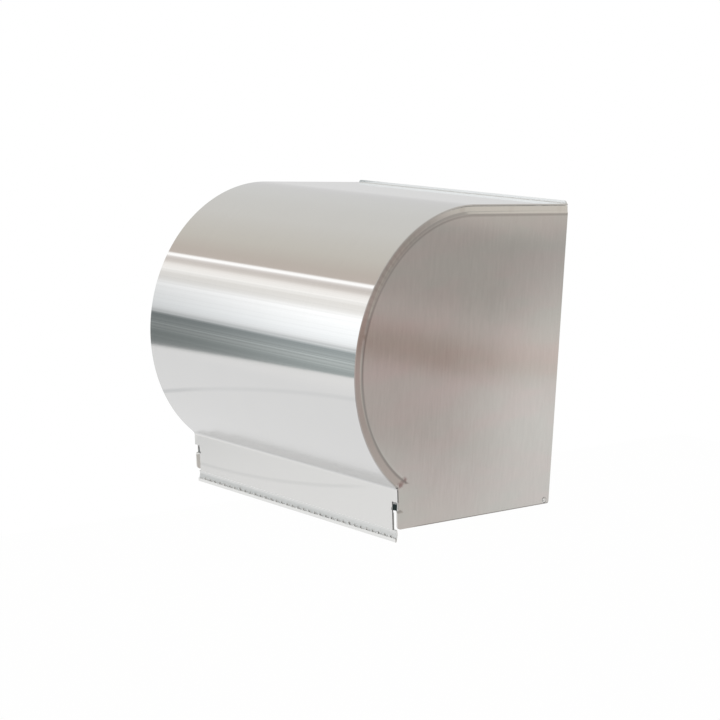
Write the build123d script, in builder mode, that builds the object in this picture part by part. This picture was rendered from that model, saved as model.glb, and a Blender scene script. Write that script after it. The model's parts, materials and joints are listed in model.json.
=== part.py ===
from build123d import *
from math import atan2, cos, degrees, pi, radians, sin, sqrt
import os

os.makedirs("parts", exist_ok=True)

# Wall-mounted roll towel dispenser in bent stainless sheet.
# X runs along the roll, Y towards the wall and Z up.
# The origin is on the wall, halfway along the roll and level with the roll's axis.
# Right means +X.

# Cover: one sheet rolled over the top and front, with a side plate at each end
body_width = 215.0
cover_radius = 101.2
axis_to_wall = 93.4
arc_sweep = 145.0
cover_sheet = 1.0
side_sheet = 1.0
side_recess = 1.0
side_front_round = 3.0
side_rear_round = 1.5
seam_gap = 0.3
wall_gap = 0.3
cover_to_wall = 1.5

# Panel: the pressed-out middle of each side plate, whose round front isn't quite the cover's
panel_radius = 94.7
panel_ahead = 0.9
panel_above = 1.7
panel_rise = 0.5
panel_step = 1.6

# Apron: the straight tail of the cover sheet, below the fold
apron_length = 28.7
apron_lean = 5.9
apron_inset = 5.2
plate_above_apron = 1.05
notch_start = 9.2
notch_height = 5.8
ear_turn = 20.0

# Tear blade: a thinner sheet behind the apron, with a trough and an upturned toothed lip
blade_sheet = 0.6
blade_overlap = 11.5
blade_side_gap = 0.6
recess_depth = 1.3
recess_slant = 2.9
lip_proud = 0.25
lip_rise = 4.6
lip_height = 2.0
tooth_pitch = 5.82
tooth_width = 2.2
tooth_height = 1.3
tooth_set = 3.5
starter_scale = 1.5
starter_place = 10
blade_end_margin = 3.0

# Wall plate
back_sheet = 1.2
back_corner_round = 2.0
back_lip = 1.9
shut_gap = 0.3
wall_hole_radius = 2.75
wall_holes_across = 150.0
wall_holes_up = 130.0

# Continuous hinge along the top rear edge
leaf_sheet = 0.8
leaf_depth = 16.0
knuckle_count = 7
knuckle_gap = 0.2
hinge_pin_radius = 0.9
hinge_pin_play = 0.05
frame_side_gap = 0.3

# Roll arms
arm_sheet = 1.5
arm_to_side = 1.6
arm_nose_radius = 12.0
arm_base_top = 42.0
arm_base_bottom = 46.0
arm_foot_width = 15.0

# Bushes in the arms
bush_wall = 1.6
bush_flange_radius = 8.0
bush_flange = 1.0
bush_proud = 0.4
bush_press = 0.05

# Spindle
journal_radius = 3.5
journal_play = 0.08
journal_proud = 0.5
spindle_radius = 11.0
spindle_end_play = 0.3
sleeve_wall = 1.25
sleeve_mouth = 46.0
cap_rim = 2.0
cap_spigot = 8.0
stop_ring_width = 4.0
stop_ring_bore = 8.9
plunger_play = 0.3
plunger_head = 4.0
plunger_stand_in = 26.0
plunger_bore = 5.5
plunger_end_wall = 4.0
spring_wire_radius = 0.7
spring_seat_gap = 0.1
spring_turns = 14
spring_play = 0.6

# Catches: a leaf spring and a domed button inside each lower rear corner
catch_sheet = 0.5
catch_width = 6.4
catch_root = 46.0
catch_top = 26.0
button_radius = 1.7
button_play = 0.4
button_from_rear = 4.8
button_from_bottom = 2.8
button_proud = 0.5
button_dome = 0.6

# Rivets
rivet_radius = 1.6
rivet_head_radius = 3.0
rivet_head_height = 1.1
rivet_play = 0.05
small_rivet_radius = 1.0
small_head_radius = 1.8
small_head_height = 0.6
hinge_rivet_count = 5
hinge_rivet_margin = 15.0
arm_rivet_margin = 9.0
catch_rivet_margin = 5.0

# Levels and widths that several pieces share
half_width = body_width / 2
side_outer = half_width - side_recess
side_inner = side_outer - side_sheet
back_face = -back_sheet
rear_edge = -wall_gap
roll_axis = (-axis_to_wall, 0)
cover_underside = cover_radius - cover_sheet
plate_inset = cover_sheet + seam_gap

barrel_radius = cover_sheet + leaf_sheet
hinge_y = back_face - shut_gap - barrel_radius
hinge_z = cover_radius - barrel_radius
frame_half = side_inner - frame_side_gap
back_top = cover_radius + back_lip

arm_outer = side_inner - arm_to_side
arm_inner = arm_outer - arm_sheet
bush_radius = journal_radius + journal_play + bush_wall
spindle_end = arm_inner - bush_flange - spindle_end_play
journal_tip = arm_outer + journal_proud
sleeve_bore = spindle_radius - sleeve_wall
sleeve_start = -spindle_end + cap_rim
plunger_head_start = sleeve_mouth - plunger_stand_in
plunger_radius = stop_ring_bore - plunger_play

apron_half = half_width - apron_inset
notch_end = notch_start + notch_height
lean = radians(apron_lean)
down = (sin(lean), -cos(lean))
behind = (cos(lean), sin(lean))
fold_angle = radians(90 + arc_sweep)
fold = (
    roll_axis[0] + cover_radius * cos(fold_angle),
    roll_axis[1] + cover_radius * sin(fold_angle),
)


def on_apron(along, depth=0.0):
    """The point that lies so far down the apron from the fold, and so far behind its face."""
    return (
        fold[0] + down[0] * along + behind[0] * depth,
        fold[1] + down[1] * along + behind[1] * depth,
    )


side_drop = -on_apron(apron_length)[1] - plate_above_apron


def finish(part, name):
    """Label a piece and write it."""
    part.label = name
    export_step(part, f"parts/{name}.step")


# Cover wrapper: the sheet's own bend line, thickened inwards
with BuildPart() as cover_wrapper:
    with BuildSketch(Plane.YZ):
        with BuildLine():
            Line((-cover_to_wall, cover_radius), (roll_axis[0], cover_radius))
            front_arc = CenterArc(roll_axis, cover_radius, 90, arc_sweep)
            Line(front_arc @ 1, on_apron(apron_length))
            offset(amount=cover_sheet, side=Side.LEFT)
        make_face()
    extrude(amount=half_width, both=True)

    # Clearance for the hinge barrel in the top rear edge
    barrel_slot = hinge_y - barrel_radius - shut_gap
    with BuildSketch(Plane.XY.offset(cover_radius)):
        with Locations((0, barrel_slot / 2)):
            Rectangle(2 * side_inner, -barrel_slot)
    extrude(amount=-leaf_sheet - cover_sheet, mode=Mode.SUBTRACT)

    # The apron is narrower below the notches, and the metal of each notch is turned back as an ear
    apron_plane = Plane(origin=(0, *fold), x_dir=(1, 0, 0), z_dir=(0, -behind[0], -behind[1]))
    with BuildSketch(apron_plane):
        for outward in (-1, 1):
            with Locations((outward * half_width, -notch_start)):
                Rectangle(2 * apron_inset, apron_length - notch_start, align=(Align.CENTER, Align.MAX))
    extrude(amount=-cover_sheet, mode=Mode.SUBTRACT)
    ear_reach = side_inner - blade_side_gap - apron_half
    ear_back = ear_reach * sin(radians(ear_turn))
    ear_root = on_apron(notch_start + notch_height / 2)
    with BuildSketch(Plane.XY.offset(ear_root[1] - notch_height / 2)):
        for outward in (-1, 1):
            with BuildLine():
                Polyline(
                    (outward * (apron_half - cover_sheet), ear_root[0]),
                    (outward * apron_half, ear_root[0]),
                    (outward * (apron_half + ear_reach), ear_root[0] + ear_back),
                    (outward * (apron_half + ear_reach), ear_root[0] + ear_back + cover_sheet),
                    (outward * (apron_half - cover_sheet), ear_root[0] + cover_sheet),
                    close=True,
                )
            make_face()
    extrude(amount=notch_height)
finish(cover_wrapper.part, "cover_wrapper")


# Side plates: a border just inside the cover's ends, a pressed-out panel, and the catch button's hole
button_place = (rear_edge - button_from_rear, -side_drop + button_from_bottom)
open_rear = rear_edge + plate_inset
open_bottom = -side_drop - plate_inset
apron_drop = (open_bottom - fold[1]) / down[1]
plate_corner = on_apron((-side_drop - fold[1]) / down[1])
with BuildSketch() as side_outline:
    with BuildLine():
        Line((open_rear, cover_radius), (roll_axis[0], cover_radius))
        CenterArc(roll_axis, cover_radius, 90, arc_sweep)
        Polyline(fold, on_apron(apron_drop), (open_rear, open_bottom), (open_rear, cover_radius))
    make_face()
    offset(amount=-plate_inset, kind=Kind.INTERSECTION)
    # Below the notch the plate comes forward to stand flush with the apron's face
    with BuildLine():
        Polyline(
            on_apron(notch_end),
            plate_corner,
            (plate_corner[0] + plate_inset / cos(lean), -side_drop),
            on_apron(notch_end, plate_inset),
            close=True,
        )
    make_face()
    low_corners = side_outline.vertices().group_by(Axis.Y)[0].sort_by(Axis.X)
    fillet(low_corners[0], radius=side_front_round)
    low_corners = side_outline.vertices().group_by(Axis.Y)[0].sort_by(Axis.X)
    fillet(low_corners[-1], radius=side_rear_round)
    with Locations(button_place):
        Circle(button_radius + button_play, mode=Mode.SUBTRACT)

# The panel's outline runs past the plate's rear and lower edges, and past its front edge below
# the notch, where the plate has no border
panel_past = -panel_step - plate_inset
panel_axis = (roll_axis[0] - panel_ahead, roll_axis[1] + panel_above)
panel_top = panel_axis[1] + panel_radius
panel_slope = degrees(atan2(panel_step, panel_rise))
with BuildSketch() as panel_outline:
    with BuildLine():
        Line((-open_bottom, panel_top), (panel_axis[0], panel_top))
        panel_arc = CenterArc(panel_axis, panel_radius, 90, arc_sweep)
        panel_end = panel_arc @ 1
        panel_foot = (panel_end.X + down[0] * side_drop, panel_end.Y + down[1] * side_drop)
        Polyline(panel_end, panel_foot, (-open_bottom, panel_foot[1]), (-open_bottom, panel_top))
    make_face()
    with BuildLine():
        Polyline(
            on_apron(notch_end, panel_past),
            on_apron(side_drop, panel_past),
            on_apron(side_drop, panel_radius),
            on_apron(notch_end, panel_radius),
            close=True,
        )
    make_face()

for side_name, outward in (("left", -1), ("right", 1)):
    with BuildPart() as side_plate:
        with BuildSketch(Plane.YZ.offset(outward * side_inner)):
            add(side_outline.sketch)
        extrude(amount=outward * side_sheet)
        with BuildSketch(Plane.YZ.offset(outward * side_outer)):
            add(panel_outline.sketch)
        extrude(amount=outward * panel_rise, taper=panel_slope)
        with BuildSketch(Plane.YZ.offset(outward * side_inner)):
            add(panel_outline.sketch)
        extrude(amount=outward * panel_rise, taper=panel_slope, mode=Mode.SUBTRACT)
        with BuildSketch(Plane.YZ.offset(outward * side_inner)):
            add(side_outline.sketch)
        extrude(amount=outward * (side_sheet + panel_rise), mode=Mode.INTERSECT)
    finish(side_plate.part, f"{side_name}_side_plate")

# Tear blade: behind the apron, back to the bottom of a trough, then forward and up to the lip
strip_depth = cover_sheet
strip_end = apron_length
trough_depth = strip_depth + recess_depth
trough_along = strip_end + recess_slant
lip_depth = blade_sheet - lip_proud
lip_along = trough_along + lip_rise
lip_root = lip_along - lip_height
blade_half = side_inner - blade_side_gap
with BuildPart() as tear_blade:
    with BuildSketch(Plane.YZ):
        with BuildLine():
            Polyline(
                on_apron(strip_end - blade_overlap, strip_depth),
                on_apron(strip_end, strip_depth),
                on_apron(trough_along, trough_depth),
                on_apron(lip_along, lip_depth),
                on_apron(lip_root, lip_depth),
            )
            offset(amount=blade_sheet, side=Side.LEFT)
        make_face()
    extrude(amount=blade_half, both=True)

    # The strip behind the apron is no wider than the apron
    with BuildSketch(apron_plane):
        for outward in (-1, 1):
            with Locations((outward * half_width, blade_overlap - strip_end)):
                Rectangle(2 * apron_inset, blade_overlap, align=(Align.CENTER, Align.MAX))
    extrude(amount=-strip_depth - blade_sheet, mode=Mode.SUBTRACT)

    # Teeth along the lip: every second one is set back, and one on each side is longer
    last_tooth = int((blade_half - blade_end_margin) / tooth_pitch)
    for place in range(-last_tooth, last_tooth + 1):
        size = starter_scale if abs(place) == starter_place else 1.0
        tilt = -radians(tooth_set) if place % 2 == 0 else lean
        root = on_apron(lip_root, lip_depth - blade_sheet / 2)
        tooth_plane = Plane(
            origin=(place * tooth_pitch, *root),
            x_dir=(1, 0, 0),
            z_dir=(0, -cos(tilt), -sin(tilt)),
        )
        with BuildSketch(tooth_plane):
            with BuildLine():
                Polyline(
                    (-tooth_width * size / 2, -blade_sheet / 2),
                    (tooth_width * size / 2, -blade_sheet / 2),
                    (0, tooth_height * size),
                    close=True,
                )
            make_face()
        extrude(amount=blade_sheet / 2, both=True)
finish(tear_blade.part, "tear_blade")

# Wall plate: four screw holes in a rectangle about the origin, and holes for the rivets
hinge_rivet_z = hinge_z - barrel_radius - (leaf_depth - barrel_radius) / 2
hinge_rivet_step = 2 * (frame_half - hinge_rivet_margin) / (hinge_rivet_count - 1)
arm_rivet_x = arm_outer - (arm_foot_width + arm_sheet) / 2
arm_rivet_reach = (arm_base_top + arm_base_bottom) / 2 - arm_rivet_margin
arm_base_middle = (arm_base_top - arm_base_bottom) / 2
with BuildPart() as back_plate:
    with BuildSketch(Plane.XZ):
        with Locations((0, (back_top - side_drop) / 2)):
            RectangleRounded(2 * frame_half, back_top + side_drop, back_corner_round)
        with GridLocations(wall_holes_across, wall_holes_up, 2, 2):
            Circle(wall_hole_radius, mode=Mode.SUBTRACT)
        with Locations((0, hinge_rivet_z)):
            with GridLocations(hinge_rivet_step, 0, hinge_rivet_count, 1):
                Circle(rivet_radius + rivet_play, mode=Mode.SUBTRACT)
        with Locations((0, arm_base_middle)):
            with GridLocations(2 * arm_rivet_x, arm_rivet_reach, 2, 3):
                Circle(rivet_radius + rivet_play, mode=Mode.SUBTRACT)
    extrude(amount=back_sheet)
finish(back_plate.part, "back_plate")

# Continuous hinge: the two leaves take turns with their knuckles along one pin
knuckle_pitch = 2 * frame_half / knuckle_count
knuckle_length = knuckle_pitch - knuckle_gap
leaf_stop = barrel_radius + shut_gap


def knuckle_starts(first):
    """Where every second knuckle starts along X."""
    return [
        -frame_half + place * knuckle_pitch + knuckle_gap / 2
        for place in range(first, knuckle_count, 2)
    ]


with BuildPart() as hinge_leaf_back:
    with BuildSketch(Plane.YZ):
        with Locations((back_face, hinge_z - leaf_stop)):
            Rectangle(leaf_sheet, leaf_depth - leaf_stop, align=(Align.MAX, Align.MAX))
    extrude(amount=frame_half, both=True)
    for start in knuckle_starts(0):
        with BuildSketch(Plane.YZ.offset(start)):
            with Locations((back_face, hinge_z)):
                Rectangle(leaf_sheet, leaf_depth, align=(Align.MAX, Align.MAX))
            with Locations((hinge_y, hinge_z)):
                Circle(barrel_radius)
        extrude(amount=knuckle_length)
    with BuildSketch(Plane.YZ):
        with Locations((hinge_y, hinge_z)):
            Circle(hinge_pin_radius + hinge_pin_play)
    extrude(amount=frame_half, both=True, mode=Mode.SUBTRACT)
    with BuildSketch(Plane.XZ.offset(-back_face)):
        with Locations((0, hinge_rivet_z)):
            with GridLocations(hinge_rivet_step, 0, hinge_rivet_count, 1):
                Circle(rivet_radius + rivet_play)
    extrude(amount=leaf_sheet, mode=Mode.SUBTRACT)
finish(hinge_leaf_back.part, "hinge_leaf_back")

with BuildPart() as hinge_leaf_cover:
    with BuildSketch(Plane.YZ):
        with Locations((hinge_y - leaf_stop, cover_underside)):
            Rectangle(leaf_depth - leaf_stop, leaf_sheet, align=(Align.MAX, Align.MAX))
    extrude(amount=frame_half, both=True)
    for start in knuckle_starts(1):
        with BuildSketch(Plane.YZ.offset(start)):
            with Locations((hinge_y, cover_underside)):
                Rectangle(leaf_depth, leaf_sheet, align=(Align.MAX, Align.MAX))
            with Locations((hinge_y, hinge_z)):
                Circle(barrel_radius)
        extrude(amount=knuckle_length)
    with BuildSketch(Plane.YZ):
        with Locations((hinge_y, hinge_z)):
            Circle(hinge_pin_radius + hinge_pin_play)
    extrude(amount=frame_half, both=True, mode=Mode.SUBTRACT)
finish(hinge_leaf_cover.part, "hinge_leaf_cover")

with BuildPart() as hinge_pin:
    with BuildSketch(Plane.YZ):
        with Locations((hinge_y, hinge_z)):
            Circle(hinge_pin_radius)
    extrude(amount=frame_half, both=True)
finish(hinge_pin.part, "hinge_pin")

# Wall rivets: a shank flush with the wall side and a low domed head inside
dome_radius = (rivet_head_radius**2 + rivet_head_height**2) / (2 * rivet_head_height)


def wall_rivets(name, places, grip):
    """Rivets through the wall plate and one more sheet, at places given as (x, z)."""
    with BuildPart() as rivets:
        for x, z in places:
            rivet_plane = Plane(origin=(x, 0, z), x_dir=(1, 0, 0), z_dir=(0, -1, 0))
            with BuildSketch(rivet_plane):
                Circle(rivet_radius)
            extrude(amount=grip)
            with BuildSketch(Plane(origin=(x, 0, z), x_dir=(1, 0, 0), z_dir=(0, 0, 1))):
                with BuildLine():
                    Line((0, -grip), (rivet_head_radius, -grip))
                    RadiusArc((rivet_head_radius, -grip), (0, -grip - rivet_head_height), dome_radius)
                    Line((0, -grip - rivet_head_height), (0, -grip))
                make_face()
            revolve(axis=Axis((x, 0, z), (0, 1, 0)))
    finish(rivets.part, name)


hinge_places = [
    (-frame_half + hinge_rivet_margin + place * hinge_rivet_step, hinge_rivet_z)
    for place in range(hinge_rivet_count)
]
wall_rivets("hinge_rivets", hinge_places, back_sheet + leaf_sheet)
arm_places = [
    (outward * arm_rivet_x, arm_base_middle + step * arm_rivet_reach)
    for outward in (-1, 1)
    for step in (-1, 0, 1)
]
wall_rivets("arm_rivets", arm_places, back_sheet + arm_sheet)

# Roll arms: a foot on the wall plate and a tapered plate that reaches the roll axis
catch_y = button_place[0]
catch_rivet_z = -(catch_top + catch_root) / 2
catch_rivet_reach = (catch_root - catch_top) / 2 - catch_rivet_margin
for side_name, outward in (("left", -1), ("right", 1)):
    with BuildPart() as arm:
        with BuildSketch(Plane.YZ.offset(outward * arm_inner)):
            with Locations(roll_axis):
                Circle(arm_nose_radius)
            with Locations((back_face, arm_base_middle)):
                Rectangle(arm_sheet, arm_base_top + arm_base_bottom, align=(Align.MAX, Align.CENTER))
            make_hull()
            with Locations(roll_axis):
                Circle(bush_radius + bush_press, mode=Mode.SUBTRACT)
            with Locations((catch_y, catch_rivet_z)):
                with GridLocations(0, 2 * catch_rivet_reach, 1, 2):
                    Circle(small_rivet_radius + rivet_play, mode=Mode.SUBTRACT)
        extrude(amount=outward * arm_sheet)
        with BuildSketch(Plane.XZ.offset(-back_face)):
            with Locations((outward * (arm_outer - arm_foot_width / 2), arm_base_middle)):
                Rectangle(arm_foot_width, arm_base_top + arm_base_bottom)
            with Locations((outward * arm_rivet_x, arm_base_middle)):
                with GridLocations(0, arm_rivet_reach, 1, 3):
                    Circle(rivet_radius + rivet_play, mode=Mode.SUBTRACT)
        extrude(amount=arm_sheet)
    finish(arm.part, f"{side_name}_arm")

# Bushes: a flange inside each arm and a short sleeve through it
roll_line = Axis((0, -axis_to_wall, 0), (1, 0, 0))
roll_plane = Plane(origin=(0, -axis_to_wall, 0), x_dir=(1, 0, 0), z_dir=(0, 0, 1))
for side_name, outward in (("left", -1), ("right", 1)):
    with BuildPart() as bush:
        with BuildSketch(roll_plane):
            with BuildLine():
                Polyline(
                    (outward * (arm_inner - bush_flange), journal_radius + journal_play),
                    (outward * (arm_inner - bush_flange), bush_flange_radius),
                    (outward * arm_inner, bush_flange_radius),
                    (outward * arm_inner, bush_radius),
                    (outward * (arm_outer + bush_proud), bush_radius),
                    (outward * (arm_outer + bush_proud), journal_radius + journal_play),
                    close=True,
                )
            make_face()
        revolve(axis=roll_line)
    finish(bush.part, f"{side_name}_bush")

# Spindle: a sleeve with a fixed end cap, and a sprung plunger that slides in its other end
with BuildPart() as spindle_sleeve:
    with BuildSketch(Plane.YZ.offset(sleeve_start)):
        with Locations(roll_axis):
            Circle(spindle_radius)
            Circle(sleeve_bore, mode=Mode.SUBTRACT)
    extrude(amount=sleeve_mouth - sleeve_start)
finish(spindle_sleeve.part, "spindle_sleeve")

with BuildPart() as spindle_end_cap:
    with BuildSketch(roll_plane):
        with BuildLine():
            Polyline(
                (-journal_tip, 0),
                (-journal_tip, journal_radius),
                (-spindle_end, journal_radius),
                (-spindle_end, spindle_radius),
                (sleeve_start, spindle_radius),
                (sleeve_start, sleeve_bore - bush_press),
                (sleeve_start + cap_spigot, sleeve_bore - bush_press),
                (sleeve_start + cap_spigot, 0),
                close=True,
            )
        make_face()
    revolve(axis=roll_line)
finish(spindle_end_cap.part, "spindle_end_cap")

with BuildPart() as spindle_stop_ring:
    with BuildSketch(Plane.YZ.offset(sleeve_mouth - stop_ring_width)):
        with Locations(roll_axis):
            Circle(sleeve_bore - bush_press)
            Circle(stop_ring_bore, mode=Mode.SUBTRACT)
    extrude(amount=stop_ring_width)
finish(spindle_stop_ring.part, "spindle_stop_ring")

with BuildPart() as spindle_plunger:
    with BuildSketch(roll_plane):
        with BuildLine():
            Polyline(
                (plunger_head_start, plunger_bore),
                (plunger_head_start, sleeve_bore - plunger_play),
                (plunger_head_start + plunger_head, sleeve_bore - plunger_play),
                (plunger_head_start + plunger_head, plunger_radius),
                (spindle_end - cap_rim, plunger_radius),
                (spindle_end - cap_rim, spindle_radius),
                (spindle_end, spindle_radius),
                (spindle_end, journal_radius),
                (journal_tip, journal_radius),
                (journal_tip, 0),
                (spindle_end - cap_rim - plunger_end_wall, 0),
                (spindle_end - cap_rim - plunger_end_wall, plunger_bore),
                close=True,
            )
        make_face()
    revolve(axis=roll_line)
finish(spindle_plunger.part, "spindle_plunger")

# Spindle spring: one unbroken coil, each half turn drawn as two tangent arcs
coil_radius = sleeve_bore - spring_play - spring_wire_radius
coil_start = sleeve_start + cap_spigot + spring_seat_gap + spring_wire_radius
coil_end = plunger_head_start - spring_seat_gap - spring_wire_radius
coil_pitch = (coil_end - coil_start) / spring_turns


def coil_point(turn):
    """The wire's centre and direction after so many turns."""
    angle = 2 * pi * turn
    place = Vector(
        coil_start + coil_pitch * turn,
        roll_axis[0] + coil_radius * cos(angle),
        roll_axis[1] + coil_radius * sin(angle),
    )
    along = Vector(coil_pitch, -2 * pi * coil_radius * sin(angle), 2 * pi * coil_radius * cos(angle))
    return place, along.normalized()


with BuildPart() as spindle_spring:
    with BuildLine() as coil:
        for half in range(2 * spring_turns):
            first, first_along = coil_point(half / 2)
            last, last_along = coil_point((half + 1) / 2)
            span = last - first
            both = first_along + last_along
            spread = 2 * (1 - first_along.dot(last_along))
            reach = (-span.dot(both) + sqrt(span.dot(both) ** 2 + spread * span.dot(span))) / spread
            middle = (first + last + (first_along - last_along) * reach) / 2
            middle_along = (last - last_along * reach) - (first + first_along * reach)
            TangentArc(first, middle, tangent=first_along)
            TangentArc(middle, last, tangent=middle_along)
    with BuildSketch(Plane(origin=coil_point(0)[0], z_dir=coil_point(0)[1])):
        Circle(spring_wire_radius)
    sweep()
finish(spindle_spring.part, "spindle_spring")
print("spring gap between turns", round(coil_pitch - 2 * spring_wire_radius, 2))

# Catches: a leaf on each arm's outer face, with a domed button that fills the side plate's hole
catch_reach = side_drop - button_from_bottom - catch_top
for side_name, outward in (("left", -1), ("right", 1)):
    with BuildPart() as catch_leaf:
        with BuildSketch(Plane.YZ.offset(outward * arm_outer)):
            with Locations((catch_y, -catch_top)):
                Rectangle(catch_width, catch_reach, align=(Align.CENTER, Align.MAX))
            with Locations(button_place):
                Circle(catch_width / 2)
                Circle(small_rivet_radius + rivet_play, mode=Mode.SUBTRACT)
            with Locations((catch_y, catch_rivet_z)):
                with GridLocations(0, 2 * catch_rivet_reach, 1, 2):
                    Circle(small_rivet_radius + rivet_play, mode=Mode.SUBTRACT)
        extrude(amount=outward * catch_sheet)
    finish(catch_leaf.part, f"{side_name}_catch_leaf")

    with BuildPart() as catch_button:
        button_foot = arm_outer + catch_sheet
        with BuildSketch(Plane.YZ.offset(outward * (arm_outer - small_head_height))):
            with Locations(button_place):
                Circle(small_head_radius)
        extrude(amount=outward * small_head_height)
        with BuildSketch(Plane.YZ.offset(outward * arm_outer)):
            with Locations(button_place):
                Circle(small_rivet_radius)
        extrude(amount=outward * catch_sheet)
        with BuildSketch(Plane.YZ.offset(outward * button_foot)):
            with Locations(button_place):
                Circle(button_radius)
        extrude(amount=outward * (side_outer + panel_rise + button_proud - button_foot))
        dome_edge = catch_button.edges().filter_by(GeomType.CIRCLE).sort_by(Axis.X)
        fillet(dome_edge[-1 if outward > 0 else 0], radius=button_dome)
    finish(catch_button.part, f"{side_name}_catch_button")

with BuildPart() as catch_rivets:
    for outward in (-1, 1):
        for step in (-1, 1):
            place = (catch_y, catch_rivet_z + step * catch_rivet_reach)
            with BuildSketch(Plane.YZ.offset(outward * arm_inner)):
                with Locations(place):
                    Circle(small_rivet_radius)
            extrude(amount=outward * (arm_sheet + catch_sheet))
            with BuildSketch(Plane.YZ.offset(outward * (arm_outer + catch_sheet))):
                with Locations(place):
                    Circle(small_head_radius)
            extrude(amount=outward * small_head_height)
            with BuildSketch(Plane.YZ.offset(outward * arm_inner)):
                with Locations(place):
                    Circle(small_head_radius)
            extrude(amount=-outward * small_head_height)
finish(catch_rivets.part, "catch_rivets")
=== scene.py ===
# %% [markdown]
# # A roll towel dispenser in stainless steel
# The dispenser hangs on a wall. One sheet of brushed stainless steel is rolled over its top and
# front, and lifts about a hinge along the top rear edge. A spindle inside carries the roll, and
# the towel is torn off on the toothed lip below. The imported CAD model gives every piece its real
# size and place. This lesson sets up a small studio, writes one finish for each kind of metal and
# plastic, and models the sheet-metal pieces again where light needs rounder bends than CAD holds.

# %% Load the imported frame
import json
from math import cos, pi, radians, sin

import bpy
from mathutils import Matrix, Vector


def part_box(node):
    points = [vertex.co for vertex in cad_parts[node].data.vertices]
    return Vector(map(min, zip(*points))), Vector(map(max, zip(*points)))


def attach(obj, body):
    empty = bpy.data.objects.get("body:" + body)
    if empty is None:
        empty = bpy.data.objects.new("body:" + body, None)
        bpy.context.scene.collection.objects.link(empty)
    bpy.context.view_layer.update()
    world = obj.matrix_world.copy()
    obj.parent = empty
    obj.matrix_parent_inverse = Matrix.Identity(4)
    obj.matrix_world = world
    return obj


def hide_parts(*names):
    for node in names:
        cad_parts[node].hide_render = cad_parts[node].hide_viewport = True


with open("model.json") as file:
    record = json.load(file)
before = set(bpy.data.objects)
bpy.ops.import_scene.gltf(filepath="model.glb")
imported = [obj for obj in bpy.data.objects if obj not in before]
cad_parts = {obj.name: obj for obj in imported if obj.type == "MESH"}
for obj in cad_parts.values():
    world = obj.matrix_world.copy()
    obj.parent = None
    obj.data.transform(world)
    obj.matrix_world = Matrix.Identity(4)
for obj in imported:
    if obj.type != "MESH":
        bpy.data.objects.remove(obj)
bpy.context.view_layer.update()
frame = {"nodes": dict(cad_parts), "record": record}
nodes = frame["nodes"]
mm = 0.001

# %% [markdown]
# ## The cover's own measures
# The cover's top is level, its front is an arc about the roll's axis, and its rear edge lies at
# the wall. These few sizes could be typed in, but they are read from the CAD cover's box, so that
# the finish and the sheet below can't drift away from the CAD model.

# %% Measures of the cover
cover_low, cover_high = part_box("cover_wrapper")
half_width = cover_high[0]
top = cover_high[2]
roll_y = cover_low[1] + top
print("cover radius", round(top, 4), "m, roll axis at y", round(roll_y, 4))

# %% [markdown]
# ## The camera
# The camera stands in front of the object, to its right and a little above it, and leans three
# degrees to one side. A camera could be turned by three Euler angles, but their order is easily
# mixed up. Here a camera that starts by looking straight down is rolled, tipped up and then
# turned, so its matrix is three plain rotations, read from right to left.

# %% Camera
camera_place = (0.9009, -0.9344, 0.1675)
camera_yaw = 46.834
camera_pitch = 8.526
camera_roll = 2.907
focal_pixels = 1760.6
picture_width = 720
sensor_width = 36.0

camera_data = bpy.data.cameras.new("camera")
camera = bpy.data.objects.new("camera", camera_data)
bpy.context.scene.collection.objects.link(camera)
camera_data.sensor_fit = "HORIZONTAL"
camera_data.sensor_width = sensor_width
camera_data.lens = focal_pixels / picture_width * sensor_width
turn = (
    Matrix.Rotation(radians(camera_yaw), 4, "Z")
    @ Matrix.Rotation(radians(90 - camera_pitch), 4, "X")
    @ Matrix.Rotation(radians(camera_roll), 4, "Z")
)
camera.matrix_world = Matrix.Translation(camera_place) @ turn
bpy.context.scene.camera = camera
bpy.context.scene.view_settings.view_transform = "Standard"
print("lens", round(camera_data.lens, 1), "mm")

# %% [markdown]
# ## Shader maths
# A brushed finish is a sum of many small effects, and as a web of nodes it is hard to read. The
# class below wraps one socket, so that a line such as `streaks * 0.1 + 0.9` adds the two Math
# nodes by itself. Every other kind of node comes from its one method, `add`.

# %% A socket that can be calculated with
degrees_per_radian = 180 / pi


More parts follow.
